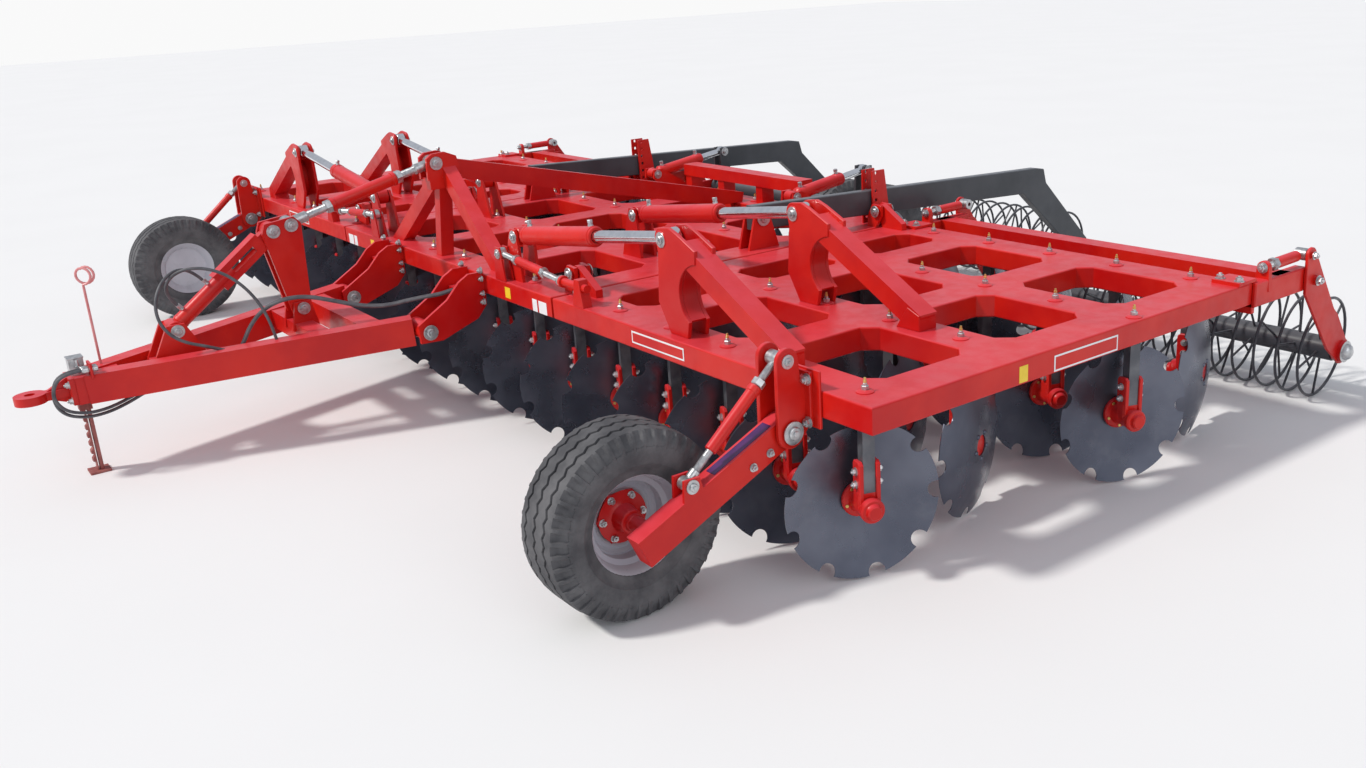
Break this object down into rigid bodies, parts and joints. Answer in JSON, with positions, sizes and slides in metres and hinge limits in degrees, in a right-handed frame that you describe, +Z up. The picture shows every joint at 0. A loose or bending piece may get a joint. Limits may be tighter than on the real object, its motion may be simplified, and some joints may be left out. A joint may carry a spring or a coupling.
{
  "type": "towed folding disc harrow",
  "caption": "Towed folding disc harrow with a ladder frame in three sections, rows of notched discs, support wheels, drawbar with jack, and ring rollers behind.",
  "frame": {"origin": "on the floor under the middle of the whole machine's box", "axes": "+Z up, +X towards the machine's left side, -Y the way it travels"},
  "size_m": [7.696, 6.91, 1.41],
  "materials": {
    "red_paint": "semi-gloss orange-red enamel, dusty",
    "dark_paint": "semi-gloss anthracite enamel",
    "disc_steel": "blue-grey hardened sheet steel, worn bright at the rims",
    "leg_grey": "scaled grey square bar",
    "roller_grey": "dark grey enamel, scuffed",
    "rim_silver": "silver enamel, dusty",
    "tyre_rubber": "black rubber with pale dust",
    "chrome_rod": "hard-chromed, polished",
    "zinc": "zinc-plated, dull"
  },
  "bodies": {
    "root": {"centre_cross_beams": "red_paint", "centre_long_beams": "red_paint", "centre_ears": "red_paint", "mast": "red_paint", "rear_bridge": "red_paint", "centre_disc_legs": "leg_grey", "centre_disc_hubs": "red_paint", "centre_discs": "disc_steel", "wing_stops": "red_paint"},
    "drawbar": {"drawbar_beams": "red_paint", "drawbar_members": "red_paint", "hitch_eye": "red_paint", "jack_tube": "zinc"},
    "jack_leg": {"jack_leg": "zinc"},
    "rocker": {"rocker": "red_paint"},
    "strut_barrel": {"strut_barrel": "red_paint"},
    "strut_head": {"strut_head": "red_paint"},
    "levelling_link": {"levelling_link": "red_paint"},
    "rear_arms": {"rear_arms": "dark_paint"},
    "centre_roller": {"centre_roller": "roller_grey"},
    "transport_axle": {"transport_axle": "dark_paint"},
    "transport_wheels": {"transport_rims": "rim_silver", "transport_tyres": "tyre_rubber"},
    "lift_barrels": {"lift_barrels": "red_paint"},
    "lift_rods": {"lift_rods": "chrome_rod"},
    "left_wing": {"left_cross_beams": "red_paint", "left_long_beams": "red_paint", "left_ears": "red_paint", "left_wing_towers": "red_paint", "left_disc_legs": "leg_grey", "left_disc_hubs": "red_paint", "left_discs": "disc_steel", "left_roller_frame": "red_paint", "left_wheel_bracket": "red_paint"},
    "left_fold_barrels": {"left_fold_barrels": "red_paint"},
    "left_fold_rods": {"left_fold_rods": "chrome_rod"},
    "left_wheel_arm": {"left_wheel_arm": "red_paint"},
    "left_support_wheel": {"left_support_rim": "rim_silver", "left_support_tyre": "tyre_rubber"},
    "left_screw_tube": {"left_wheel_screw_tube": "zinc"},
    "left_screw_rod": {"left_wheel_screw_rod": "zinc"},
    "left_roller": {"left_wing_roller": "roller_grey"},
    "right_wing": {"right_cross_beams": "red_paint", "right_long_beams": "red_paint", "right_ears": "red_paint", "right_wing_towers": "red_paint", "right_disc_legs": "leg_grey", "right_disc_hubs": "red_paint", "right_discs": "disc_steel", "right_roller_frame": "red_paint", "right_wheel_bracket": "red_paint"},
    "right_fold_barrels": {"right_fold_barrels": "red_paint"},
    "right_fold_rods": {"right_fold_rods": "chrome_rod"},
    "right_wheel_arm": {"right_wheel_arm": "red_paint"},
    "right_support_wheel": {"right_support_rim": "rim_silver", "right_support_tyre": "tyre_rubber"},
    "right_screw_tube": {"right_wheel_screw_tube": "zinc"},
    "right_screw_rod": {"right_wheel_screw_rod": "zinc"},
    "right_roller": {"right_wing_roller": "roller_grey"}
  },
  "joints": [
    {"name": "drawbar_pitch", "type": "hinge", "parent": "root", "child": "drawbar", "pos_m": [0, -1.53, 0.54], "axis": [1, 0, 0], "range_deg": [-10, 6]},
    {"name": "jack_lift", "type": "slide", "parent": "drawbar", "child": "jack_leg", "axis": [0, 0, 1], "range_m": [0, 0.25]},
    {"name": "rocker_pivot", "type": "hinge", "parent": "drawbar", "child": "rocker", "pos_m": [0, -2, 0.665], "axis": [1, 0, 0], "range_deg": [-9.8, 16]},
    {"name": "strut_foot_pivot", "type": "hinge", "parent": "drawbar", "child": "strut_barrel", "pos_m": [0, -2.66, 0.67], "axis": [1, 0, 0], "range_deg": [-2.9, 4.4]},
    {"name": "strut_stroke", "type": "slide", "parent": "strut_barrel", "child": "strut_head", "axis": [0, 0.7975, 0.6033], "range_m": [-0.116, 0.071]},
    {"name": "link_pivot", "type": "hinge", "parent": "root", "child": "levelling_link", "pos_m": [0, -1.11, 1.35], "axis": [1, 0, 0], "range_deg": [-5.8, 3.7]},
    {"name": "left_wing_fold", "type": "hinge", "parent": "root", "child": "left_wing", "pos_m": [1.45, -1.07, 0.9], "axis": [0, -1, 0], "range_deg": [0, 88]},
    {"name": "left_fold_barrel_pivot", "type": "hinge", "parent": "root", "child": "left_fold_barrels", "pos_m": [0.98, -1.07, 1.04], "axis": [0, -1, 0], "range_deg": [-0.5, 71]},
    {"name": "left_fold_stroke", "type": "slide", "parent": "left_fold_barrels", "child": "left_fold_rods", "axis": [0.9923, 0, 0.124], "range_m": [-0.595, 0]},
    {"name": "left_wheel_arm_pivot", "type": "hinge", "parent": "left_wing", "child": "left_wheel_arm", "pos_m": [3.4, -1.275, 0.64], "axis": [1, 0, 0], "range_deg": [-14, 6]},
    {"name": "left_wheel_spin", "type": "hinge", "parent": "left_wheel_arm", "child": "left_support_wheel", "pos_m": [3.17, -1.87, 0.38], "axis": [1, 0, 0], "continuous": true},
    {"name": "left_screw_pivot", "type": "hinge", "parent": "left_wing", "child": "left_screw_tube", "pos_m": [3.4, -1.285, 0.925], "axis": [1, 0, 0], "range_deg": [-10.4, 4.8]},
    {"name": "left_screw_stroke", "type": "slide", "parent": "left_screw_tube", "child": "left_screw_rod", "axis": [0, -0.7605, -0.6494], "range_m": [-0.059, 0.027]},
    {"name": "left_roller_spin", "type": "hinge", "parent": "left_wing", "child": "left_roller", "pos_m": [0, 2.15, 0.275], "axis": [1, 0, 0], "continuous": true},
    {"name": "right_wing_fold", "type": "hinge", "parent": "root", "child": "right_wing", "pos_m": [-1.45, -1.07, 0.9], "axis": [0, 1, 0], "range_deg": [0, 88]},
    {"name": "right_fold_barrel_pivot", "type": "hinge", "parent": "root", "child": "right_fold_barrels", "pos_m": [-0.98, -1.07, 1.04], "axis": [0, 1, 0], "range_deg": [-0.5, 71]},
    {"name": "right_fold_stroke", "type": "slide", "parent": "right_fold_barrels", "child": "right_fold_rods", "axis": [-0.9923, 0, 0.124], "range_m": [-0.595, 0]},
    {"name": "right_wheel_arm_pivot", "type": "hinge", "parent": "right_wing", "child": "right_wheel_arm", "pos_m": [-3.4, -1.275, 0.64], "axis": [1, 0, 0], "range_deg": [-14, 6]},
    {"name": "right_wheel_spin", "type": "hinge", "parent": "right_wheel_arm", "child": "right_support_wheel", "pos_m": [-3.17, -1.87, 0.38], "axis": [1, 0, 0], "continuous": true},
    {"name": "right_screw_pivot", "type": "hinge", "parent": "right_wing", "child": "right_screw_tube", "pos_m": [-3.4, -1.285, 0.925], "axis": [1, 0, 0], "range_deg": [-10.4, 4.8]},
    {"name": "right_screw_stroke", "type": "slide", "parent": "right_screw_tube", "child": "right_screw_rod", "axis": [0, -0.7605, -0.6494], "range_m": [-0.059, 0.027]},
    {"name": "right_roller_spin", "type": "hinge", "parent": "right_wing", "child": "right_roller", "pos_m": [0, 2.15, 0.275], "axis": [1, 0, 0], "continuous": true},
    {"name": "rear_arms_pivot", "type": "hinge", "parent": "root", "child": "rear_arms", "pos_m": [0, 0.26, 0.975], "axis": [-1, 0, 0], "range_deg": [0, 2.5]},
    {"name": "centre_roller_spin", "type": "hinge", "parent": "rear_arms", "child": "centre_roller", "pos_m": [0, 3.18, 0.275], "axis": [1, 0, 0], "continuous": true},
    {"name": "transport_axle_lift", "type": "hinge", "parent": "root", "child": "transport_axle", "pos_m": [0, 1.57, 0.76], "axis": [-1, 0, 0], "range_deg": [0, 35]},
    {"name": "transport_wheel_spin", "type": "hinge", "parent": "transport_axle", "child": "transport_wheels", "pos_m": [0, 2.26, 0.4], "axis": [1, 0, 0], "continuous": true},
    {"name": "lift_barrel_pivot", "type": "hinge", "parent": "root", "child": "lift_barrels", "pos_m": [0, 0.94, 0.94], "axis": [-1, 0, 0], "range_deg": [-0.5, 5.6]},
    {"name": "lift_stroke", "type": "slide", "parent": "lift_barrels", "child": "lift_rods", "axis": [0, 0.9899, 0.1414], "range_m": [-0.002, 0.153]}
  ],
  "couplings": [
    {"joint": "rocker_pivot", "follows": "drawbar_pitch", "ratio": -1.5513},
    {"joint": "strut_foot_pivot", "follows": "drawbar_pitch", "ratio": -0.39449},
    {"joint": "strut_stroke", "follows": "drawbar_pitch", "m_per_rad": 0.63398},
    {"joint": "link_pivot", "follows": "drawbar_pitch", "ratio": 0.53175},
    {"joint": "left_fold_barrel_pivot", "follows": "left_wing_fold", "ratio": 0.80142},
    {"joint": "left_fold_stroke", "follows": "left_wing_fold", "m_per_rad": -0.38461},
    {"joint": "left_screw_pivot", "follows": "left_wheel_arm_pivot", "ratio": 0.70935},
    {"joint": "left_screw_stroke", "follows": "left_wheel_arm_pivot", "m_per_rad": 0.23121},
    {"joint": "right_fold_barrel_pivot", "follows": "right_wing_fold", "ratio": 0.80142},
    {"joint": "right_fold_stroke", "follows": "right_wing_fold", "m_per_rad": -0.38461},
    {"joint": "right_screw_pivot", "follows": "right_wheel_arm_pivot", "ratio": 0.70935},
    {"joint": "right_screw_stroke", "follows": "right_wheel_arm_pivot", "m_per_rad": 0.23121},
    {"joint": "lift_barrel_pivot", "follows": "transport_axle_lift", "ratio": 0.1465},
    {"joint": "lift_stroke", "follows": "transport_axle_lift", "m_per_rad": 0.24481}
  ]
}
